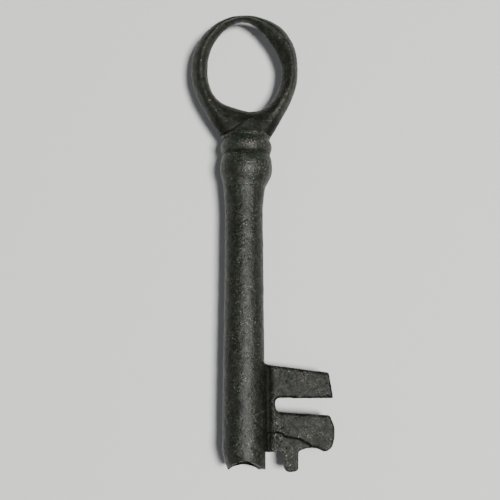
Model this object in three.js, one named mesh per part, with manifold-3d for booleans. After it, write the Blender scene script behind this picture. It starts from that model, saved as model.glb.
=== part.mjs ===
// An old bronze key with a hollow stem, lying on its side. Sizes are in millimetres.
// +Y runs up the stem to the bow, +X points along the bit, and +Z is the key's thickness.
// The stem's tip is at y = 0 and its axis at x = 0 until the last step moves the key to its frame.

import * as THREE from 'three';
import { mergeVertices } from 'three/addons/utils/BufferGeometryUtils.js';
import Module from 'manifold-3d';

const wasm = await Module();
wasm.setup();

// Stem: a round bar, bored from the tip, that swells a little towards both ends.
const STEM_LENGTH = 60.4;
const STEM_TIP_RADIUS = 4.65;
const STEM_WAIST_RADIUS = 4.15;
const STEM_WAIST_HEIGHT = 54;
const STEM_TOP_RADIUS = 4.65;
const BORE_RADIUS = 3.1;
const BORE_DEPTH = 32;
const BORE_POINT = 1.8;

// The stem's worn rim: the wall is broken back at front and rear, and one corner is rubbed round.
const RIM_WEAR_HEIGHT = 5;
const RIM_FRONT_BREAK = 2.1;
const RIM_REAR_BREAK = 0.7;
const CORNER_WEAR = 1.3;

// Knop and collar: two turned beads threaded on the bow's tang, a little off the stem's axis.
// Each is fullest at the given share of its height.
const KNOP_HEIGHT = 7.6;
const KNOP_RADIUS = 5.8;
const KNOP_FOOT_RADIUS = 4.75;
const KNOP_FULLEST = 0.62;
const COLLAR_HEIGHT = 3.5;
const COLLAR_RADIUS = 5.72;
const COLLAR_FULLEST = 0.46;
const GROOVE_RADIUS = 5.28;
const BEAD_OFFSET = 0.45;

// Neck: a leaning blunt cone whose slot clasps the foot of the bow, narrower across than deep.
const NECK_RADIUS = 5.08;
const NECK_TOP_RADIUS = 1.7;
const NECK_HEIGHT = 5.8;
const NECK_FLOOR = 0.8;
const NECK_FULLNESS = 1.2;
const NECK_LEAN = 1.6;
const NECK_PINCH = 0.35;

// Bow: a ring with a lozenge section, worn thin at the top.
const BOW_CENTRE_ABOVE_SEAT = 15.8;
const BOW_OFFSET = 0.1;
const BOW_HALF_WIDTH = 12.15;
const BOW_RISE = 12.8;
const BOW_DEPTH_SIDE = 4.8;
const BOW_DEPTH_TOP = 3.2;
const BOW_DEPTH_FOOT = 5.6;
const BOW_FOOT_HALF_WIDTH = 4.9;
const BOW_SIDE_WALL = 3.8;
const BOW_TOP_WALL = 1.5;
const BOW_WEB_HEIGHT = 5.4;

// The bow's limbs run on below the seat by the trim, and flare out from their foot.
const FOOT_TRIM = 1.4;
const FOOT_FLARE_LEFT = 4.4;
const FOOT_FLARE_RIGHT = 3.6;
const FLARE_START = 0.6;

// How full the bow's curves are: the handles as shares of the curve's own width and rise.
const LIMB_FULLNESS = 0.38;
const SHOULDER_FULLNESS = 0.64;
const ROUND_FULLNESS = 0.55;
const HOLE_SHOULDER_FULLNESS = 0.34;
const HOLE_ROUND_FULLNESS = 0.5;

// The hole's lower edge, from its left side along the web and up its right side, as control points:
// shares of the hole's half width, and of the drop from its middle to the web.
const HOLE_LOWER_EDGE = [
  [-1, 0.42], [-0.85, 0.68], [-0.58, 0.79],
  [-0.2, 0.9], [0.25, 1.08], [0.58, 0.83],
  [0.85, 0.63], [1, 0.36],
];

// The lozenge section where each of the five curves starts, and back at the first one: how sharp
// its ridge is, from 1 for an ellipse to 1.5 for hollow faces, and how far the ridge leans outwards.
const RIDGE_SHARPNESS = [1.5, 1.35, 1.3, 1.05, 1.1, 1.5];
const RIDGE_LEANS = [0.25, 0, -0.15, 0, 0, 0.25];

// Tang: the round pin under the bow that runs through the beads into the stem.
const TANG_RADIUS = 2.1;
const TANG_LENGTH_IN_STEM = 9;

// Bit: a flat plate with a cleft between two leaves, let into the stem by a tongue.
const BIT_THICKNESS = 3.8;
const BIT_REACH = 19.3;
const UPPER_LEAF_REACH = 19;
const END_SLANT = 0.7;
const BIT_TOP = 21.9;
const BIT_TOP_FALL = 1.6;
const BIT_BOTTOM = 3.7;
const CORNER_ROUND = 0.9;
const EDGE_ROUNDING = 0.6;
const CLEFT_TOP = 14.8;
const CLEFT_BOTTOM = 11.9;
const CLEFT_FLOOR = 6.7;
const CLEFT_MOUTH_DROP = 0.7;
const TONGUE_THICKNESS = 2.2;
const TONGUE_DEPTH = 0.9;

// The lower leaf's end: a prong, a hollow and a rounded lobe.
const PRONG_START = 8.5;
const PRONG_WIDTH = 3;
const PRONG_LENGTH = 4.2;
const PRONG_CHAMFER = 0.5;
const LOBE_ROUND = 1.8;
const HOLLOW_RISE = 0.75;

// The part of the lower leaf's face that has flaked away.
const FLAKE_DEPTH = 0.45;
const FLAKE_HEIGHT = 4.1;
const FLAKE_FALL = 2.6;
const FLAKE_RUN = 2.5;

// The room that a fitted face leaves for the braze.
const CLEARANCE = 0.3;

const TURN_STEPS = 40;
const BEAD_STEPS = 14;
const NECK_STEPS = 8;
const BOW_STEPS_PER_CURVE = 16;
const BOW_SECTION_STEPS = 16;

// Heights that follow from the sizes above.
const knopBase = STEM_LENGTH;
const collarBase = knopBase + KNOP_HEIGHT;
const neckBase = collarBase + COLLAR_HEIGHT;
const footSeat = neckBase + NECK_FLOOR;
const tangEnd = STEM_LENGTH - TANG_LENGTH_IN_STEM;
const prongTip = BIT_BOTTOM - PRONG_LENGTH;

function toSolid(geometry) {
  const bare = geometry.clone();
  bare.deleteAttribute('normal');
  bare.deleteAttribute('uv');
  const welded = mergeVertices(bare, 1e-4);
  return new wasm.Manifold(new wasm.Mesh({
    numProp: 3,
    vertProperties: new Float32Array(welded.attributes.position.array),
    triVerts: new Uint32Array(welded.index.array),
  }));
}

function toGeometry(solid) {
  const mesh = solid.getMesh();
  const geometry = new THREE.BufferGeometry();
  geometry.setAttribute('position', new THREE.BufferAttribute(mesh.vertProperties, 3));
  geometry.setIndex(new THREE.BufferAttribute(mesh.triVerts, 1));
  geometry.computeVertexNormals();
  return geometry;
}

function turned(profile, offset = 0) {
  const points = profile.map(([radius, height]) => new THREE.Vector2(radius, height));
  return new THREE.LatheGeometry(points, TURN_STEPS).translate(offset, 0, 0);
}

function upright(radius, bottom, top) {
  return new THREE.CylinderGeometry(radius, radius, top - bottom, TURN_STEPS)
    .translate(0, (bottom + top) / 2, 0);
}

function block(left, right, bottom, top, depth) {
  return new THREE.BoxGeometry(right - left, top - bottom, depth)
    .translate((left + right) / 2, (bottom + top) / 2, 0);
}

// Evenly spaced values from one to the other, without the first.
function rows(from, to, steps) {
  return Array.from({ length: steps }, (_, i) => from + ((to - from) * (i + 1)) / steps);
}

// Between two values, slow at both ends.
function ease(from, to, t) {
  return from + ((to - from) * (1 - Math.cos(Math.PI * t))) / 2;
}

// The bow's outer outline and its hole, each as five curves that run round from the bit's side:
// over the right shoulder, over the left one, down the left limb, along the foot, up the right limb.
function bowOutlines() {
  const middle = footSeat + BOW_CENTRE_ABOVE_SEAT;
  const top = middle + BOW_RISE;
  const left = BOW_OFFSET - BOW_HALF_WIDTH;
  const right = BOW_OFFSET + BOW_HALF_WIDTH;
  const foot = footSeat - FOOT_TRIM;
  const footLeft = BEAD_OFFSET - BOW_FOOT_HALF_WIDTH;
  const footRight = BEAD_OFFSET + BOW_FOOT_HALF_WIDTH;
  const limbY = middle - (middle - foot) * LIMB_FULLNESS;
  const flareY = middle - (middle - foot) * FLARE_START;

  const outer = new THREE.Path();
  outer.moveTo(right, middle);
  outer.bezierCurveTo(
    right, middle + BOW_RISE * SHOULDER_FULLNESS,
    BOW_OFFSET + BOW_HALF_WIDTH * SHOULDER_FULLNESS, top,
    BOW_OFFSET, top,
  );
  outer.bezierCurveTo(
    BOW_OFFSET - BOW_HALF_WIDTH * ROUND_FULLNESS, top,
    left, middle + BOW_RISE * ROUND_FULLNESS,
    left, middle,
  );
  outer.bezierCurveTo(left, limbY, footLeft - FOOT_FLARE_LEFT, flareY, footLeft, foot);
  outer.lineTo(footRight, foot);
  outer.bezierCurveTo(footRight + FOOT_FLARE_RIGHT, flareY, right, limbY, right, middle);

  const holeWidth = BOW_HALF_WIDTH - BOW_SIDE_WALL;
  const holeRise = BOW_RISE - BOW_TOP_WALL;
  const holeTop = middle + holeRise;
  const holeDrop = middle - footSeat - BOW_WEB_HEIGHT;
  const holeLeft = BOW_OFFSET - holeWidth;
  const holeRight = BOW_OFFSET + holeWidth;
  const low = HOLE_LOWER_EDGE.map(([x, y]) => [BOW_OFFSET + holeWidth * x, middle - holeDrop * y]);

  const hole = new THREE.Path();
  hole.moveTo(holeRight, middle);
  hole.bezierCurveTo(
    holeRight, middle + holeRise * HOLE_SHOULDER_FULLNESS,
    BOW_OFFSET + holeWidth * HOLE_SHOULDER_FULLNESS, holeTop,
    BOW_OFFSET, holeTop,
  );
  hole.bezierCurveTo(
    BOW_OFFSET - holeWidth * HOLE_ROUND_FULLNESS, holeTop,
    holeLeft, middle + holeRise * HOLE_ROUND_FULLNESS,
    holeLeft, middle,
  );
  hole.bezierCurveTo(...low[0], ...low[1], ...low[2]);
  hole.bezierCurveTo(...low[3], ...low[4], ...low[5]);
  hole.bezierCurveTo(...low[6], ...low[7], holeRight, middle);
  return { outer, hole };
}

// One lozenge section between a point of the hole and the point of the outline across from it.
// Its two arrises stand off the middle by a share, lean, of its half width, outwards if positive.
function lozenge(inner, outer, halfDepth, sharpness, lean, grow) {
  const middle = inner.clone().add(outer).divideScalar(2);
  const across = outer.clone().sub(inner);
  const halfWidth = across.length() / 2 + grow;
  across.normalize();
  const ring = [];
  for (let k = 0; k < BOW_SECTION_STEPS; k += 1) {
    const angle = (2 * Math.PI * k) / BOW_SECTION_STEPS;
    const c = Math.cos(angle);
    const s = Math.sin(angle);
    const rise = Math.abs(s) ** sharpness;
    const u = (Math.sign(c) * Math.abs(c) ** sharpness + lean * rise) * halfWidth;
    const v = Math.sign(s) * rise * (halfDepth + grow);
    ring.push([middle.x + across.x * u, middle.y + across.y * u, v]);
  }
  return ring;
}

// The closed ring of sections, cut off flat at the foot's seat. Grow thickens it all round.
function bowRing(grow) {
  const { outer, hole } = bowOutlines();
  const depths = [
    BOW_DEPTH_SIDE, BOW_DEPTH_TOP, BOW_DEPTH_SIDE, BOW_DEPTH_FOOT, BOW_DEPTH_FOOT, BOW_DEPTH_SIDE,
  ];
  const sections = [];
  for (let curve = 0; curve < outer.curves.length; curve += 1) {
    for (let step = 0; step < BOW_STEPS_PER_CURVE; step += 1) {
      const t = step / BOW_STEPS_PER_CURVE;
      const depth = ease(depths[curve], depths[curve + 1], t);
      const sharpness = ease(RIDGE_SHARPNESS[curve], RIDGE_SHARPNESS[curve + 1], t);
      const lean = ease(RIDGE_LEANS[curve], RIDGE_LEANS[curve + 1], t);
      const inside = hole.curves[curve].getPoint(t);
      const outside = outer.curves[curve].getPoint(t);
      sections.push(lozenge(inside, outside, depth / 2, sharpness, lean, grow));
    }
  }
  const index = [];
  for (let i = 0; i < sections.length; i += 1) {
    const next = (i + 1) % sections.length;
    for (let k = 0; k < BOW_SECTION_STEPS; k += 1) {
      const up = (k + 1) % BOW_SECTION_STEPS;
      const a = i * BOW_SECTION_STEPS + k;
      const b = next * BOW_SECTION_STEPS + k;
      const c = next * BOW_SECTION_STEPS + up;
      const d = i * BOW_SECTION_STEPS + up;
      index.push(a, b, c, a, c, d);
    }
  }
  const geometry = new THREE.BufferGeometry();
  geometry.setAttribute('position', new THREE.Float32BufferAttribute(sections.flat(2), 3));
  geometry.setIndex(index);
  const underFoot = block(
    -BOW_HALF_WIDTH, BOW_HALF_WIDTH, footSeat - 2 * FOOT_TRIM - grow, footSeat, 2 * BOW_DEPTH_FOOT,
  );
  return toSolid(geometry).subtract(toSolid(underFoot));
}

function makeBow() {
  const tang = upright(TANG_RADIUS, tangEnd, footSeat + BOW_WEB_HEIGHT / 2);
  return toGeometry(bowRing(0).add(toSolid(tang)));
}

// What every piece round the tang is bored with.
function tangHole() {
  return toSolid(upright(TANG_RADIUS + CLEARANCE, tangEnd - CLEARANCE, footSeat + NECK_HEIGHT));
}

function makeNeck() {
  const coneHeight = NECK_HEIGHT - NECK_FLOOR;
  const profile = [[0, neckBase], [NECK_RADIUS, neckBase], [NECK_RADIUS, footSeat]];
  for (const t of rows(0, 1, NECK_STEPS)) {
    const radius = NECK_RADIUS + (NECK_TOP_RADIUS - NECK_RADIUS) * t ** NECK_FULLNESS;
    profile.push([radius, footSeat + coneHeight * t]);
  }
  profile.push([0, neckBase + NECK_HEIGHT]);
  const geometry = turned(profile);
  const position = geometry.attributes.position;
  for (let i = 0; i < position.count; i += 1) {
    const share = Math.max(0, (position.getY(i) - footSeat) / coneHeight);
    const across = position.getX(i) * (1 - NECK_PINCH * share);
    position.setX(i, BEAD_OFFSET + across + NECK_LEAN * share);
  }
  return toGeometry(toSolid(geometry).subtract(bowRing(CLEARANCE)).subtract(tangHole()));
}

// A bead's outline swells from its low edge to its fullest and back to its high edge.
function bead(base, height, lowRadius, fullRadius, highRadius, fullest) {
  const profile = [[0, base], [lowRadius, base]];
  for (const t of rows(0, 1, BEAD_STEPS)) {
    const rising = t < fullest;
    const side = rising ? t / fullest : (1 - t) / (1 - fullest);
    const edge = rising ? lowRadius : highRadius;
    profile.push([edge + (fullRadius - edge) * Math.sin((Math.PI * side) / 2), base + height * t]);
  }
  profile.push([0, base + height]);
  return toGeometry(toSolid(turned(profile, BEAD_OFFSET)).subtract(tangHole()));
}

function makeCollar() {
  return bead(collarBase, COLLAR_HEIGHT, GROOVE_RADIUS, COLLAR_RADIUS, NECK_RADIUS, COLLAR_FULLEST);
}

function makeKnop() {
  return bead(knopBase, KNOP_HEIGHT, KNOP_FOOT_RADIUS, KNOP_RADIUS, GROOVE_RADIUS, KNOP_FULLEST);
}

function stemRadius(height) {
  if (height < STEM_WAIST_HEIGHT) {
    return STEM_TIP_RADIUS + ((STEM_WAIST_RADIUS - STEM_TIP_RADIUS) * height) / STEM_WAIST_HEIGHT;
  }
  const t = (height - STEM_WAIST_HEIGHT) / (STEM_LENGTH - STEM_WAIST_HEIGHT);
  return STEM_WAIST_RADIUS + (STEM_TOP_RADIUS - STEM_WAIST_RADIUS) * t ** 2;
}

function makeStem() {
  const heights = [
    0,
    ...rows(0, RIM_WEAR_HEIGHT, 4),
    ...rows(RIM_WEAR_HEIGHT, STEM_WAIST_HEIGHT, 6),
    ...rows(STEM_WAIST_HEIGHT, STEM_LENGTH, 3),
  ];
  const profile = [
    [0, BORE_DEPTH + BORE_POINT],
    [BORE_RADIUS, BORE_DEPTH],
    [BORE_RADIUS, RIM_WEAR_HEIGHT],
    [BORE_RADIUS, 0],
    ...heights.map((height) => [stemRadius(height), height]),
    [0, STEM_LENGTH],
  ];
  const geometry = turned(profile);
  wearRim(geometry.attributes.position);
  return toGeometry(toSolid(geometry).subtract(tangHole()).subtract(tongue(CLEARANCE)));
}

// Breaks the rim back at front and rear, and rubs its corner round on the side away from the bit.
function wearRim(position) {
  const point = new THREE.Vector3();
  for (let i = 0; i < position.count; i += 1) {
    point.fromBufferAttribute(position, i);
    if (point.y < RIM_WEAR_HEIGHT) {
      const radius = Math.hypot(point.x, point.z);
      const front = Math.max(0, point.z / radius);
      const rear = Math.max(0, -point.z / radius);
      const away = Math.max(0, -point.x / radius);
      const nearRim = (1 - point.y / RIM_WEAR_HEIGHT) ** 2;
      const outside = (radius - BORE_RADIUS) / (STEM_TIP_RADIUS - BORE_RADIUS);
      const shrink = 1 - (CORNER_WEAR * nearRim * away ** 2 * outside) / radius;
      const lift = RIM_FRONT_BREAK * front ** 2 + RIM_REAR_BREAK * rear ** 2;
      const height = lift + point.y * (1 - lift / RIM_WEAR_HEIGHT);
      position.setXYZ(i, point.x * shrink, height, point.z * shrink);
    }
  }
}

// The plate's outline: root, upper leaf, cleft, lower leaf with its drooping lobe, and prong.
function bitOutline() {
  const root = BORE_RADIUS;
  const upperCorner = UPPER_LEAF_REACH - END_SLANT;
  const lowerCorner = BIT_REACH - END_SLANT;
  const topCorner = BIT_TOP - BIT_TOP_FALL;
  const lobeTip = lowerCorner - LOBE_ROUND;
  const prongEnd = PRONG_START + PRONG_WIDTH;
  const prongMiddle = PRONG_START + PRONG_WIDTH / 2;

  const shape = new THREE.Shape();
  shape.moveTo(root, BIT_TOP);
  shape.lineTo(STEM_TIP_RADIUS, BIT_TOP);
  shape.lineTo(upperCorner - CORNER_ROUND, topCorner);
  shape.quadraticCurveTo(upperCorner, topCorner, upperCorner, topCorner - CORNER_ROUND);
  shape.lineTo(UPPER_LEAF_REACH, CLEFT_TOP);
  shape.lineTo(CLEFT_FLOOR + CORNER_ROUND, CLEFT_TOP);
  shape.quadraticCurveTo(CLEFT_FLOOR, CLEFT_TOP, CLEFT_FLOOR, CLEFT_TOP - CORNER_ROUND);
  shape.quadraticCurveTo(CLEFT_FLOOR, CLEFT_BOTTOM, CLEFT_FLOOR + CORNER_ROUND, CLEFT_BOTTOM);
  shape.lineTo(lowerCorner - CORNER_ROUND / 3, CLEFT_BOTTOM - CLEFT_MOUTH_DROP);
  shape.quadraticCurveTo(
    BIT_REACH + END_SLANT, (CLEFT_BOTTOM + BIT_BOTTOM) / 2,
    lowerCorner, BIT_BOTTOM + CORNER_ROUND,
  );
  shape.quadraticCurveTo(lobeTip + CORNER_ROUND, BIT_BOTTOM, lobeTip, BIT_BOTTOM);
  shape.quadraticCurveTo((lobeTip + prongEnd) / 2, BIT_BOTTOM + 2 * HOLLOW_RISE, prongEnd, BIT_BOTTOM);
  shape.lineTo(prongEnd, prongTip + CORNER_ROUND);
  shape.quadraticCurveTo(prongEnd, prongTip, prongMiddle, prongTip);
  shape.quadraticCurveTo(PRONG_START, prongTip, PRONG_START, prongTip + CORNER_ROUND);
  shape.lineTo(PRONG_START, BIT_BOTTOM - PRONG_CHAMFER);
  shape.lineTo(PRONG_START - PRONG_CHAMFER, BIT_BOTTOM);
  shape.lineTo(root, BIT_BOTTOM);
  return shape;
}

// The front face is gone below this line, and the prong's with it.
function flakeShape() {
  const flakeTop = BIT_BOTTOM + FLAKE_HEIGHT;
  const prongEnd = PRONG_START + PRONG_WIDTH;
  const below = prongTip - CLEARANCE;
  const shape = new THREE.Shape();
  shape.moveTo(0, flakeTop);
  shape.lineTo(CLEFT_FLOOR + CORNER_ROUND, flakeTop);
  shape.lineTo(PRONG_START, flakeTop - FLAKE_FALL / 3);
  shape.lineTo(prongEnd, flakeTop - FLAKE_FALL / 2);
  shape.lineTo(prongEnd + FLAKE_RUN, flakeTop - FLAKE_FALL);
  shape.lineTo(prongEnd + FLAKE_RUN, below);
  shape.lineTo(0, below);
  return shape;
}

// The tongue along the bit's root, or the slot in the stem that holds it.
function tongue(grow) {
  return toSolid(block(
    STEM_TIP_RADIUS - TONGUE_DEPTH - grow, STEM_TIP_RADIUS + CLEARANCE + EDGE_ROUNDING,
    BIT_BOTTOM - grow, BIT_TOP + grow, TONGUE_THICKNESS + 2 * grow,
  ));
}

function makeBit() {
  const plate = new THREE.ExtrudeGeometry(bitOutline(), {
    depth: BIT_THICKNESS - 2 * EDGE_ROUNDING,
    curveSegments: 6,
    bevelEnabled: true,
    bevelThickness: EDGE_ROUNDING,
    bevelSize: EDGE_ROUNDING,
    bevelOffset: -EDGE_ROUNDING,
    bevelSegments: 3,
  }).translate(0, 0, EDGE_ROUNDING - BIT_THICKNESS / 2);
  const flake = new THREE.ExtrudeGeometry(flakeShape(), { depth: BIT_THICKNESS, bevelEnabled: false })
    .translate(0, 0, BIT_THICKNESS / 2 - FLAKE_DEPTH);
  const low = prongTip - CLEARANCE;
  const high = STEM_WAIST_HEIGHT;
  const saddle = turned([
    [0, low],
    [stemRadius(low) + CLEARANCE, low],
    [stemRadius(high) + CLEARANCE, high],
    [0, high],
  ]);
  return toGeometry(toSolid(plate).subtract(toSolid(flake)).subtract(toSolid(saddle)).add(tongue(0)));
}

const pieces = [
  ['bow', makeBow, 0x37352b, 0.5],
  ['neck', makeNeck, 0x34332a, 0.55],
  ['collar', makeCollar, 0x33352c, 0.55],
  ['knop', makeKnop, 0x343a2f, 0.5],
  ['stem', makeStem, 0x3a382e, 0.48],
  ['bit', makeBit, 0x44423b, 0.6],
];

const key = new THREE.Group();
for (const [name, make, color, roughness] of pieces) {
  const material = new THREE.MeshStandardMaterial({ color, roughness, metalness: 0.7 });
  const mesh = new THREE.Mesh(make(), material);
  mesh.name = name;
  key.add(mesh);
}

// The key's frame: the middle of the underside of everything, where it lies on a table.
const extent = new THREE.Box3().setFromObject(key);
const middle = extent.getCenter(new THREE.Vector3());
key.position.set(-middle.x, -middle.y, -extent.min.z);

export default key;
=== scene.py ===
import math

import bmesh
import bpy
import numpy as np
from mathutils import Matrix, Vector, noise


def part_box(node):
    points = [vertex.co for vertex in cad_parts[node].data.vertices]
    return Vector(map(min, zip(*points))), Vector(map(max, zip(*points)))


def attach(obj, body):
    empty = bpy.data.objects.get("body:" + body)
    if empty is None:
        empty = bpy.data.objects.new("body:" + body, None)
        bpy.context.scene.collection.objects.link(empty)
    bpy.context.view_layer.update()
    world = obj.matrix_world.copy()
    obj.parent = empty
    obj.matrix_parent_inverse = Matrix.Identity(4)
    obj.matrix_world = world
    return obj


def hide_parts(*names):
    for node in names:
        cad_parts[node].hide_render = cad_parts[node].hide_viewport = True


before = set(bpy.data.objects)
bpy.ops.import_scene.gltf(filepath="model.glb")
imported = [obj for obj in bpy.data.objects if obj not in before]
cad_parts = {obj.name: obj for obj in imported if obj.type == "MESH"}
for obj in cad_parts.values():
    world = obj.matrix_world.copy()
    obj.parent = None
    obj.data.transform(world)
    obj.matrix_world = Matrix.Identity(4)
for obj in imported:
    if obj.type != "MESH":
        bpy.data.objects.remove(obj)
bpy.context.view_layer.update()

# The stem is a round bronze bar, drilled from its tip so that it slides over the pin of a lock.
# It was filed round by hand and has worn: its rim is broken back and chipped, a corner is rubbed
# away, and its skin is pitted all over and scratched along its length.

MM = 0.001
MERGE_DISTANCE = 0.002 * MM
STEM_TURN_STEPS = 176
STEM_ROWS = 330
STEM_ROWS_IN_KNOP = 2
BORE_RADIUS = 3.1 * MM
BORE_DEPTH = 32 * MM
BORE_TIP = 1.8 * MM
BORE_ROWS = 60
BORE_ROW_CROWDING = 1.5
BORE_SOIL = 1.15
WALL_ROWS = 7
RIM_BEVEL = 0.06 * MM
RIM_WEAR_HEIGHT = 5 * MM
RIM_FRONT_BREAK = 2.1 * MM
RIM_REAR_BREAK = 0.7 * MM
CORNER_WEAR = 1.3 * MM
BIG_CHIP_DEPTH = 0.22 * MM
BIG_CHIP_SIZE = 0.9 * MM
SMALL_CHIP_DEPTH = 0.1 * MM
SMALL_CHIP_SIZE = 0.35 * MM
STEM_WAIST = 54 * MM
STEM_TIP_RADIUS = 4.65 * MM
STEM_WAIST_RADIUS = 4.15 * MM
STEM_TOP_RADIUS = 4.65 * MM

DENT_SIZE = 3.2 * MM
HAMMER_SIZE = 1.1 * MM
GRAIN_SIZE = 0.42 * MM
FINE_GRAIN_SIZE = 0.24 * MM
ROUGH_PATCH_SIZE = 4.5 * MM
PIT_SIZE = 0.55 * MM
PIT_THRESHOLD = -0.22
PIT_SHARE = 2.2
SKIN_SINK = 0.2
USUAL_HOLLOW = 1.5
HOLLOW_SPAN = 2.5

OCHRE = (0.06, 0.046, 0.022, 1)
PIT_BLACK = (0.002, 0.0025, 0.002, 1)
BARE_BRONZE = (0.17, 0.168, 0.14, 1)
PACKED_DIRT_AND_SHADE = (0.006, 0.0062, 0.0045, 1)
DIRT_AND_SHADE_SHEEN = 0.04
BLACK = (0, 0, 0, 1)
WHITE = (1, 1, 1, 1)

stem_low, stem_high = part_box("stem")
stem_axis = Vector((stem_high.x - STEM_TIP_RADIUS, 0, (stem_low.z + stem_high.z) / 2))
stem_foot = stem_low.y
stem_length = stem_high.y - stem_low.y


def weathered(point, pits, dents, seed):
    """How far a worn bronze skin stands off its true shape: slow dents, hammer marks and small pits."""
    shift = Vector((seed, 2 * seed, 3 * seed))
    slow = noise.noise(point / DENT_SIZE + shift)
    middle = noise.noise(point / HAMMER_SIZE + shift)
    grain = noise.noise(point / GRAIN_SIZE - shift)
    fine = noise.noise(point / FINE_GRAIN_SIZE + 2 * shift)
    roughness = 0.5 + max(0, 0.5 + 1.3 * noise.noise(point / ROUGH_PATCH_SIZE - shift))
    pit = max(0, PIT_THRESHOLD - noise.noise(point / PIT_SIZE + 3 * shift))
    dented = dents * (0.6 * slow + 0.4 * middle)
    return dented + pits * roughness * (0.45 * grain + 0.3 * fine - PIT_SHARE * pit)


def wear_mesh(mesh, pits, dents, seed):
    """Moves every vertex by the weathering there, and marks how hollow the skin is round it."""
    mesh.update()
    normals = [Vector(v.normal) for v in mesh.vertices]
    for vertex, normal in zip(mesh.vertices, normals):
        vertex.co += normal * (weathered(vertex.co, pits, dents, seed) - SKIN_SINK * pits)
    mesh.update()
    points = np.empty(3 * len(mesh.vertices), np.float32)
    mesh.vertices.foreach_get("co", points)
    points = points.reshape(-1, 3)
    facing = np.empty(points.size, np.float32)
    mesh.vertex_normals.foreach_get("vector", facing)
    ends = np.empty(2 * len(mesh.edges), np.int32)
    mesh.edges.foreach_get("vertices", ends)
    ends = ends.reshape(-1, 2)
    around = np.zeros(points.shape)
    count = np.zeros(len(points))
    for here, there in ((0, 1), (1, 0)):
        np.add.at(around, ends[:, here], points[ends[:, there]])
        np.add.at(count, ends[:, here], 1)
    hollow = ((around / count[:, None] - points) * facing.reshape(-1, 3)).sum(axis=1)
    hollow /= USUAL_HOLLOW * np.median(abs(hollow))
    mark = mesh.attributes.new("hollow", "FLOAT", "POINT")
    mark.data.foreach_set("value", hollow.astype(np.float32))


def mark_dirt_and_shade(mesh, amount):
    """Marks the darkened, duller skin of grime, patina and painted shade: amount gives 0 to 1 for a
    point.
    """
    mark = mesh.attributes.new("dirt_and_shade", "FLOAT", "POINT")
    mark.data.foreach_set("value", [amount(v.co) for v in mesh.vertices])


def fading(distance, reach):
    """1 at no distance, and falling off smoothly to next to nothing at twice the reach."""
    return math.exp(-((distance / reach) ** 2))


def piece_from(bm, name):
    """A smooth-shaded object, added to the scene, from a finished bmesh."""
    mesh = bpy.data.meshes.new(name)
    bm.to_mesh(mesh)
    bm.free()
    mesh.shade_smooth()
    piece = bpy.data.objects.new(name, mesh)
    bpy.context.scene.collection.objects.link(piece)
    return piece


def spun(profile, centre, steps):
    """A closed round body: the profile's (radius, height) points turned round the key's length."""
    bm = bmesh.new()
    points = [bm.verts.new((centre.x + radius, height, centre.z)) for radius, height in profile]
    edges = [bm.edges.new(pair) for pair in zip(points, points[1:])]
    bmesh.ops.spin(
        bm, geom=points + edges, cent=centre, axis=(0, 1, 0), angle=2 * math.pi,
        steps=steps, use_merge=True, use_duplicate=False,
    )
    bmesh.ops.remove_doubles(bm, verts=bm.verts, dist=MERGE_DISTANCE)
    bmesh.ops.recalc_face_normals(bm, faces=bm.faces)
    return bm


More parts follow.
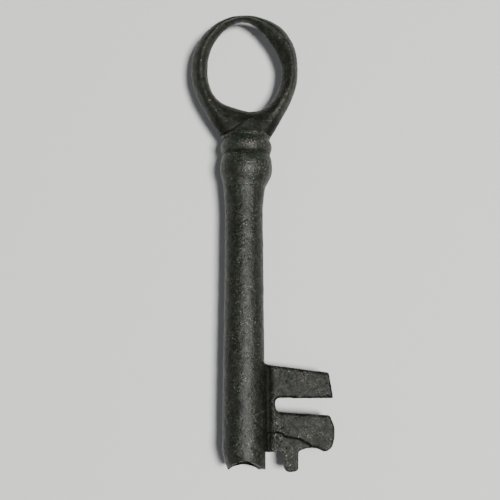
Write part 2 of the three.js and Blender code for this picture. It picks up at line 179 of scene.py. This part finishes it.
def bronze(name, dark, light, green, ochre_share, sheen, glints, rough_low, rough_high, scratches):
    """Old patinated bronze: dark brown-olive skin, green in places, with rubbed and pitted spots."""
    material = bpy.data.materials.new(name)
    material.use_nodes = True
    nodes = material.node_tree.nodes
    links = material.node_tree.links
    shader = nodes["Principled BSDF"]
    place = nodes.new("ShaderNodeTexCoord")

    def noise_at(scale, detail, roughness, stretch=(1, 1, 1)):
        mapping = nodes.new("ShaderNodeMapping")
        mapping.inputs["Scale"].default_value = stretch
        links.new(place.outputs["Object"], mapping.inputs["Vector"])
        texture = nodes.new("ShaderNodeTexNoise")
        texture.inputs["Scale"].default_value = scale
        texture.inputs["Detail"].default_value = detail
        texture.inputs["Roughness"].default_value = roughness
        links.new(mapping.outputs["Vector"], texture.inputs["Vector"])
        return texture.outputs["Fac"]

    def ramp(source, low, high, start=BLACK, end=WHITE):
        node = nodes.new("ShaderNodeValToRGB")
        node.color_ramp.elements[0].position = low
        node.color_ramp.elements[0].color = start
        node.color_ramp.elements[1].position = high
        node.color_ramp.elements[1].color = end
        links.new(source, node.inputs["Fac"])
        return node.outputs["Color"]

    def mix(factor, first, second, blend="MIX"):
        node = nodes.new("ShaderNodeMix")
        node.data_type = "RGBA"
        node.blend_type = blend
        if isinstance(factor, float):
            node.inputs["Factor"].default_value = factor
        else:
            links.new(factor, node.inputs["Factor"])
        for socket, value in ((node.inputs["A"], first), (node.inputs["B"], second)):
            if isinstance(value, tuple):
                socket.default_value = value
            else:
                links.new(value, socket)
        return node.outputs["Result"]

    hollow = nodes.new("ShaderNodeAttribute")
    hollow.attribute_name = "hollow"
    height = nodes.new("ShaderNodeMapRange")
    height.inputs["From Min"].default_value = -HOLLOW_SPAN
    height.inputs["From Max"].default_value = HOLLOW_SPAN
    links.new(hollow.outputs["Fac"], height.inputs["Value"])
    pitted = ramp(height.outputs["Result"], low=0.52, high=0.95)
    raised = ramp(height.outputs["Result"], low=0.28, high=0.5, start=WHITE, end=BLACK)

    mottle = noise_at(scale=620, detail=8, roughness=0.68)
    skin = ramp(mottle, low=0.36, high=0.66, start=dark, end=light)
    green_patches = ramp(noise_at(scale=260, detail=4, roughness=0.6), low=0.5, high=0.7)
    skin = mix(green_patches, skin, green)
    ochre_spots = noise_at(scale=640, detail=5, roughness=0.65)
    ochre_spots = ramp(ochre_spots, low=0.72 - ochre_share, high=0.78 - ochre_share)
    skin = mix(ochre_spots, skin, OCHRE)
    skin = mix(pitted, skin, PIT_BLACK)

    speckle = noise_at(scale=2700, detail=3, roughness=0.65)
    speckle = ramp(speckle, low=0.52, high=0.6, end=(glints, glints, glints, 1))
    rubbed = ramp(noise_at(scale=330, detail=5, roughness=0.65), low=0.42, high=0.6)
    glint = mix(rubbed, BLACK, speckle)
    glint = mix(raised, BLACK, glint)
    skin = mix(glint, skin, BARE_BRONZE)

    # The skin is painted darker and less shiny where marked: grime, patina, and painted shade at the
    # bit's root.
    dirt_and_shade = nodes.new("ShaderNodeAttribute")
    dirt_and_shade.attribute_name = "dirt_and_shade"
    skin = mix(dirt_and_shade.outputs["Fac"], skin, PACKED_DIRT_AND_SHADE)
    shine = nodes.new("ShaderNodeMapRange")
    shine.inputs["To Min"].default_value = sheen
    shine.inputs["To Max"].default_value = DIRT_AND_SHADE_SHEEN
    links.new(dirt_and_shade.outputs["Fac"], shine.inputs["Value"])
    links.new(shine.outputs["Result"], shader.inputs["Specular IOR Level"])

    grain = noise_at(scale=2400, detail=4, roughness=0.75)
    grain = ramp(grain, low=0.36, high=0.66, start=(0.3, 0.3, 0.3, 1), end=(2.2, 2.2, 2.2, 1))
    skin = mix(1.0, skin, grain, "MULTIPLY")
    links.new(skin, shader.inputs["Base Color"])
    bare = mix(dirt_and_shade.outputs["Fac"], glint, BLACK)
    links.new(bare, shader.inputs["Metallic"])

    rough = ramp(
        noise_at(scale=900, detail=5, roughness=0.7), low=0.3, high=0.7,
        start=(rough_low, rough_low, rough_low, 1), end=(rough_high, rough_high, rough_high, 1),
    )
    links.new(rough, shader.inputs["Roughness"])

    pits = nodes.new("ShaderNodeBump")
    pits.inputs["Strength"].default_value = 1.0
    pits.inputs["Distance"].default_value = 0.09 * MM
    links.new(noise_at(scale=2900, detail=5, roughness=0.72), pits.inputs["Height"])
    lines = nodes.new("ShaderNodeBump")
    lines.inputs["Strength"].default_value = scratches
    lines.inputs["Distance"].default_value = 0.05 * MM
    long_streaks = noise_at(scale=2400, detail=3, roughness=0.6, stretch=(1, 0.07, 1))
    links.new(long_streaks, lines.inputs["Height"])
    links.new(pits.outputs["Normal"], lines.inputs["Normal"])
    links.new(lines.outputs["Normal"], shader.inputs["Normal"])
    return material


def stem_radius(height):
    """Tapers from the tip to a waist, flares again under the knop, and steps in inside the knop."""
    if height < STEM_WAIST:
        return STEM_TIP_RADIUS + (STEM_WAIST_RADIUS - STEM_TIP_RADIUS) * height / STEM_WAIST
    share = (height - STEM_WAIST) / (stem_length - STEM_WAIST)
    inside_knop = max(0, height - stem_length)
    return STEM_WAIST_RADIUS + (STEM_TOP_RADIUS - STEM_WAIST_RADIUS) * share**2 - inside_knop


def in_the_bore(point):
    """1 on the bore's wall, where dirt is packed, and 0 elsewhere."""
    return float(math.hypot(point.x - stem_axis.x, point.z - stem_axis.z) < BORE_RADIUS * BORE_SOIL)


bore_rows = [
    (BORE_RADIUS, stem_foot + BORE_DEPTH * (1 - i / BORE_ROWS) ** BORE_ROW_CROWDING)
    for i in range(BORE_ROWS + 1)
]
outside = [
    (stem_radius(stem_length * i / STEM_ROWS), stem_foot + stem_length * i / STEM_ROWS)
    for i in range(STEM_ROWS + 1 + STEM_ROWS_IN_KNOP)
]
wall = [
    (BORE_RADIUS + (STEM_TIP_RADIUS - BORE_RADIUS) * i / WALL_ROWS, stem_foot)
    for i in range(1, WALL_ROWS)
]
outside[0] = (STEM_TIP_RADIUS - RIM_BEVEL, stem_foot)
bore_tip = [(0, stem_foot + BORE_DEPTH + BORE_TIP)]
top_centre = [(0, outside[-1][1])]
stem_mesh = spun(bore_tip + bore_rows + wall + outside + top_centre, stem_axis, STEM_TURN_STEPS)
for vertex in stem_mesh.verts:
    height = vertex.co.y - stem_foot
    if height < RIM_WEAR_HEIGHT:
        across = vertex.co - stem_axis
        radius = math.hypot(across.x, across.z)
        front = max(0, across.z / radius)
        rear = max(0, -across.z / radius)
        away = max(0, -across.x / radius)
        near_rim = (1 - height / RIM_WEAR_HEIGHT) ** 2
        outer = (radius - BORE_RADIUS) / (STEM_TIP_RADIUS - BORE_RADIUS)
        shrink = 1 - CORNER_WEAR * near_rim * away**2 * outer / radius
        chips = BIG_CHIP_DEPTH * noise.noise(vertex.co / BIG_CHIP_SIZE)
        chips += SMALL_CHIP_DEPTH * noise.noise(vertex.co / SMALL_CHIP_SIZE)
        lift = RIM_FRONT_BREAK * front**2 + RIM_REAR_BREAK * rear**2 + max(0, chips) * (0.4 + outer)
        vertex.co.x = stem_axis.x + across.x * shrink
        vertex.co.z = stem_axis.z + across.z * shrink
        vertex.co.y = stem_foot + lift + height * (1 - lift / RIM_WEAR_HEIGHT)
stem = piece_from(stem_mesh, "stem_skin")
wear_mesh(stem.data, pits=0.05 * MM, dents=0.12 * MM, seed=3)
stem_bronze = bronze(
    "stem_bronze",
    dark=(0.003, 0.0042, 0.0028, 1), light=(0.016, 0.0175, 0.0115, 1),
    green=(0.006, 0.0105, 0.006, 1), ochre_share=0.03, sheen=0.28, glints=0.5,
    rough_low=0.32, rough_high=0.5, scratches=0.3,
)
mark_dirt_and_shade(stem.data, in_the_bore)
stem.data.materials.append(stem_bronze)
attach(stem, "root")
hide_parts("stem")

# The knop is the fuller of two turned bronze beads threaded on the bow's tang above the stem.
# It is greener than the stem, its fullest part has been rubbed bright by handling, and its foot was
# brazed and filed down to run into the stem.

KNOP_FOOT_RADIUS = 4.75 * MM
KNOP_RADIUS = 5.8 * MM
KNOP_FULLEST = 0.62
KNOP_BLEND = 0.45
GROOVE_RADIUS = 5.28 * MM
BEAD_STEPS = 54
BEAD_LAP = 0.3 * MM
GROOVE_SOIL_SHARE = 0.6
KNOP_SOIL_REACH = 0.5 * MM
NEAREST_TO_AXIS = 0.01 * MM

knop_low, knop_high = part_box("knop")
bead_axis = Vector(((knop_low.x + knop_high.x) / 2, 0, (knop_low.z + knop_high.z) / 2))


def bead_profile(low, high, low_radius, full_radius, high_radius, fullest):
    """A bead's outline from the axis and back to it, with a hidden lip that laps the piece below."""
    height = high - low
    points = [(0, low - BEAD_LAP), (low_radius - 2 * BEAD_LAP, low - BEAD_LAP)]
    points.append((low_radius - BEAD_LAP / 2, low - BEAD_LAP / 2))
    for i in range(BEAD_STEPS + 1):
        share = i / BEAD_STEPS
        rising = share < fullest
        side = share / fullest if rising else (1 - share) / (1 - fullest)
        edge = low_radius if rising else high_radius
        radius = edge + (full_radius - edge) * math.sin(math.pi * side / 2)
        points.append((radius, low + height * share))
    return points + [(high_radius * 0.5, high), (0, high)]


knop = piece_from(
    spun(
        bead_profile(
            knop_low.y, knop_high.y, KNOP_FOOT_RADIUS, KNOP_RADIUS, GROOVE_RADIUS, KNOP_FULLEST,
        ),
        bead_axis, STEM_TURN_STEPS,
    ),
    "knop_bead",
)
for vertex in knop.data.vertices:
    share = max(0, vertex.co.y - knop_low.y) / (KNOP_BLEND * (knop_high.y - knop_low.y))
    if share < 1:
        blend = (1 - share) ** 2
        across = vertex.co - bead_axis
        radius = math.hypot(across.x, across.z)
        foot = min(1, radius / KNOP_FOOT_RADIUS) * STEM_TOP_RADIUS
        meeting = stem_axis + Vector((across.x, 0, across.z)) * (foot / max(radius, NEAREST_TO_AXIS))
        vertex.co.x += (meeting.x - vertex.co.x) * blend
        vertex.co.z += (meeting.z - vertex.co.z) * blend
wear_mesh(knop.data, pits=0.055 * MM, dents=0.12 * MM, seed=5)
knop_bronze = bronze(
    "knop_bronze",
    dark=(0.003, 0.0048, 0.0028, 1), light=(0.019, 0.021, 0.0145, 1),
    green=(0.007, 0.0145, 0.0075, 1), ochre_share=0.02, sheen=0.32, glints=0.8,
    rough_low=0.32, rough_high=0.5, scratches=0.1,
)
mark_dirt_and_shade(knop.data, lambda point: GROOVE_SOIL_SHARE * fading(point.y - knop_high.y, KNOP_SOIL_REACH))
knop.data.materials.append(knop_bronze)
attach(knop, "root")
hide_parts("knop")

# The collar is the narrow turned bead between the knop and the neck, with a groove on each side
# where dirt and dark patina have gathered.

COLLAR_RADIUS = 5.72 * MM
COLLAR_FULLEST = 0.46
NECK_RADIUS = 5.08 * MM
COLLAR_SOIL_REACH = 0.4 * MM

collar_low, collar_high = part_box("collar")
collar = piece_from(
    spun(
        bead_profile(
            collar_low.y, collar_high.y, GROOVE_RADIUS, COLLAR_RADIUS, NECK_RADIUS, COLLAR_FULLEST,
        ),
        bead_axis, STEM_TURN_STEPS,
    ),
    "collar_bead",
)
wear_mesh(collar.data, pits=0.055 * MM, dents=0.12 * MM, seed=7)
mark_dirt_and_shade(
    collar.data,
    lambda point: GROOVE_SOIL_SHARE * fading(point.y - collar_low.y, COLLAR_SOIL_REACH),
)
collar.data.materials.append(knop_bronze)
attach(collar, "root")
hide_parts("collar")

# The neck is a small cast cone that leans to the bit's side. A slot in it clasps the bow's foot,
# and the joint was run with braze and filed over, so its edges are soft.

NECK_FLOOR = 0.8 * MM
NECK_BASE_BAND = 0.1 * MM
FOOT_BAND = 0.05 * MM
NECK_SOIL_SHARE = 0.3
NECK_SOIL_REACH = 0.6 * MM


def refined(node, name, voxel, smoothing, added=None):
    """A copy of a CAD solid, with what is added to it, as one fine even mesh with softened edges."""
    bm = bmesh.new()
    bm.from_mesh(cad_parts[node].data)
    bmesh.ops.remove_doubles(bm, verts=bm.verts, dist=MERGE_DISTANCE)
    if added:
        extra = bpy.data.meshes.new(name + "_added")
        added.to_mesh(extra)
        added.free()
        bm.from_mesh(extra)
    piece = piece_from(bm, name)
    remesh = piece.modifiers.new("fine_mesh", "REMESH")
    remesh.mode = "VOXEL"
    remesh.voxel_size = voxel
    graph = bpy.context.evaluated_depsgraph_get()
    fine = bpy.data.meshes.new_from_object(piece.evaluated_get(graph))
    piece.modifiers.clear()
    bm = bmesh.new()
    bm.from_mesh(fine)
    for _ in range(smoothing):
        bmesh.ops.smooth_vert(
            bm, verts=bm.verts, factor=0.5, use_axis_x=True, use_axis_y=True, use_axis_z=True,
        )
    bm.to_mesh(piece.data)
    bm.free()
    piece.data.shade_smooth()
    return piece


def neck_braze():
    """The braze in the neck's slot and under the corners of the bow's foot, as two closed hulls."""
    neck_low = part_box("neck")[0]
    cone = [v.co.copy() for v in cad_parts["neck"].data.vertices]
    under = [p for p in cone if p.y - neck_low.y < NECK_BASE_BAND]
    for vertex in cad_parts["bow"].data.vertices:
        if abs(vertex.co.y - neck_low.y - NECK_FLOOR) < FOOT_BAND:
            under.append(vertex.co.copy())
    bm = bmesh.new()
    for points in (cone, under):
        hull = bmesh.ops.convex_hull(bm, input=[bm.verts.new(p) for p in points])
        inside = [part for part in hull["geom_interior"] if isinstance(part, bmesh.types.BMVert)]
        bmesh.ops.delete(bm, geom=inside, context="VERTS")
    bmesh.ops.recalc_face_normals(bm, faces=bm.faces)
    return bm


neck = refined("neck", "neck_cone", voxel=0.11 * MM, smoothing=9, added=neck_braze())
wear_mesh(neck.data, pits=0.05 * MM, dents=0.12 * MM, seed=9)
mark_dirt_and_shade(neck.data, lambda point: NECK_SOIL_SHARE * fading(point.y - collar_high.y, NECK_SOIL_REACH))
neck.data.materials.append(knop_bronze)
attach(neck, "root")
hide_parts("neck")

# The bow is a cast bronze ring with a lozenge section, filed to a ridge front and rear. It has
# worn thin at the top, where it hung, and its tang runs down through the beads into the stem.

RIDGE_FROM = 0.9 * MM
RIDGE_ROUNDING = 30
FOOT_DARKENING_REACH = 2.6 * MM
FOOT_DARKENING_SHARE = 0.85


def at_the_foot(point):
    """Darker and duller skin on the bow's foot, thinning out up the limbs."""
    above = point.y - collar_high.y - FOOT_DARKENING_REACH
    return FOOT_DARKENING_SHARE * fading(max(0, above), FOOT_DARKENING_REACH)


bow = refined("bow", "bow_ring", voxel=0.15 * MM, smoothing=8)
rounded = bmesh.new()
rounded.from_mesh(bow.data)
crest = [v for v in rounded.verts if abs(v.co.z - stem_axis.z) > RIDGE_FROM]
for _ in range(RIDGE_ROUNDING):
    bmesh.ops.smooth_vert(
        rounded, verts=crest, factor=0.5, use_axis_x=True, use_axis_y=True, use_axis_z=True,
    )
rounded.to_mesh(bow.data)
rounded.free()
wear_mesh(bow.data, pits=0.05 * MM, dents=0.14 * MM, seed=11)
bow_bronze = bronze(
    "bow_bronze",
    dark=(0.0028, 0.0038, 0.0026, 1), light=(0.0165, 0.017, 0.0105, 1),
    green=(0.006, 0.0105, 0.0065, 1), ochre_share=0.045, sheen=0.34, glints=0.4,
    rough_low=0.32, rough_high=0.5, scratches=0.1,
)
# The bow's foot is painted darker and duller, thinning out up the limbs.
mark_dirt_and_shade(bow.data, at_the_foot)
bow.data.materials.append(bow_bronze)
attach(bow, "root")
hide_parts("bow")

# The bit is a flat bronze plate, sawn and filed into two leaves with a cleft between them, and a
# prong and a lobe below. A tongue and braze hold it in the stem, a shallow groove runs along its
# root, painted dark for its dirt and as painted shade, and part of its front face has flaked.

ROOT_INNER = 3.35 * MM
ROOT_INNER_HALF = 2.85 * MM
ROOT_OUTER = 5.1 * MM
ROOT_OUTER_HALF = 1.4 * MM
ROOT_GROOVE_DEPTH = 0.42 * MM
ROOT_GROOVE_WIDTH = 0.75 * MM
ROOT_BOTTOM = 3.75 * MM
ROOT_TOP_DROP = 0.15 * MM
ROOT_TOP_RISE = 1.3 * MM
ROOT_DIRT_AND_SHADE_SHIFT = 0.1 * MM
ROOT_DIRT_AND_SHADE_REACH = 0.75 * MM


def root_fillet():
    """The braze that fills the corner between the bit's faces and the stem: a wedge along the root."""
    bm = bmesh.new()
    bmesh.ops.create_cube(bm, size=1)
    bottom = stem_foot + ROOT_BOTTOM
    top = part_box("bit")[1].y - ROOT_TOP_DROP
    for vertex in bm.verts:
        near_stem = vertex.co.x < 0
        depth = ROOT_INNER_HALF if near_stem else ROOT_OUTER_HALF
        vertex.co = Vector((
            stem_axis.x + (ROOT_INNER if near_stem else ROOT_OUTER),
            bottom if vertex.co.y < 0 else top + (ROOT_TOP_RISE if near_stem else 0),
            stem_axis.z + (depth if vertex.co.z > 0 else -depth),
        ))
    return bm


def along_the_root(point):
    """Dirt and painted shade in the groove between the bit and the stem."""
    return fading(point.x - stem_axis.x - ROOT_OUTER + ROOT_DIRT_AND_SHADE_SHIFT, ROOT_DIRT_AND_SHADE_REACH)


bit = refined("bit", "bit_plate", voxel=0.12 * MM, smoothing=16, added=root_fillet())
for vertex in bit.data.vertices:
    across = vertex.co - stem_axis
    towards_face = min(1, max(-1, across.z / ROOT_OUTER_HALF)) ** 3
    groove = ROOT_GROOVE_DEPTH * fading(across.x - ROOT_OUTER, ROOT_GROOVE_WIDTH)
    vertex.co.z -= towards_face * groove
wear_mesh(bit.data, pits=0.06 * MM, dents=0.16 * MM, seed=13)
bit_bronze = bronze(
    "bit_bronze",
    dark=(0.0012, 0.0016, 0.0011, 1), light=(0.015, 0.016, 0.0115, 1),
    green=(0.004, 0.0075, 0.0048, 1), ochre_share=0.05, sheen=0.14, glints=0.6,
    rough_low=0.3, rough_high=0.5, scratches=0.1,
)
# The root groove is painted dark and dull: the dirt in it, and painted shade.
mark_dirt_and_shade(bit.data, along_the_root)
bit.data.materials.append(bit_bronze)
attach(bit, "root")
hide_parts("bit")

# The key lies on a plain pale table under a soft window light, above and to its right, and a
# weaker, wider light from the left, and is seen from nearly straight above.

CAMERA_TARGET = Vector((-2.272, -3.49, 5.8)) * MM
CAMERA_DISTANCE = 175.2 * MM
CAMERA_SIDE = Vector((-0.05176, -0.14781, 0.98766))
PHOTO_WIDTH_PX = 500
FOCAL_LENGTH_PX = 800
NEAREST_SEEN = 10 * MM
FLOOR_SIZE = 3.0
TABLE_COLOUR = (0.68, 0.685, 0.685, 1)
ROOM_COLOUR = (0.9, 0.93, 0.96, 1)
ROOM_STRENGTH = 0.075

floor_mesh = bmesh.new()
bmesh.ops.create_grid(floor_mesh, x_segments=2, y_segments=2, size=FLOOR_SIZE / 2)
floor = piece_from(floor_mesh, "table")
table_paint = bpy.data.materials.new("table_paint")
table_paint.use_nodes = True
table_shader = table_paint.node_tree.nodes["Principled BSDF"]
table_shader.inputs["Base Color"].default_value = TABLE_COLOUR
table_shader.inputs["Roughness"].default_value = 0.9
floor.data.materials.append(table_paint)


def soft_light(name, place, size, power, tint):
    """A square area light aimed at the key."""
    data = bpy.data.lights.new(name, "AREA")
    data.shape = "SQUARE"
    data.size = size
    data.energy = power
    data.color = tint
    light = bpy.data.objects.new(name, data)
    light.location = place
    light.rotation_euler = (CAMERA_TARGET - Vector(place)).to_track_quat("-Z", "Y").to_euler()
    bpy.context.scene.collection.objects.link(light)


soft_light("window_light", place=(0.2, -0.08, 0.7), size=0.18, power=9.5, tint=(1.0, 0.985, 0.96))
soft_light("fill_light", place=(-0.5, -0.2, 0.7), size=0.8, power=0.9, tint=(0.93, 0.97, 1.0))

world = bpy.data.worlds.new("room")
world.use_nodes = True
world.node_tree.nodes["Background"].inputs["Color"].default_value = ROOM_COLOUR
world.node_tree.nodes["Background"].inputs["Strength"].default_value = ROOM_STRENGTH
bpy.context.scene.world = world

camera_data = bpy.data.cameras.new("camera")
camera_data.sensor_width = 36
camera_data.lens = camera_data.sensor_width * FOCAL_LENGTH_PX / PHOTO_WIDTH_PX
camera_data.clip_start = NEAREST_SEEN
camera = bpy.data.objects.new("camera", camera_data)
camera_offset = CAMERA_SIDE.normalized()
camera.location = CAMERA_TARGET + camera_offset * CAMERA_DISTANCE
right = Vector((0, 1, 0)).cross(camera_offset).normalized()
up = camera_offset.cross(right)
camera.rotation_euler = Matrix((right, up, camera_offset)).transposed().to_euler()
bpy.context.scene.collection.objects.link(camera)
bpy.context.scene.camera = camera
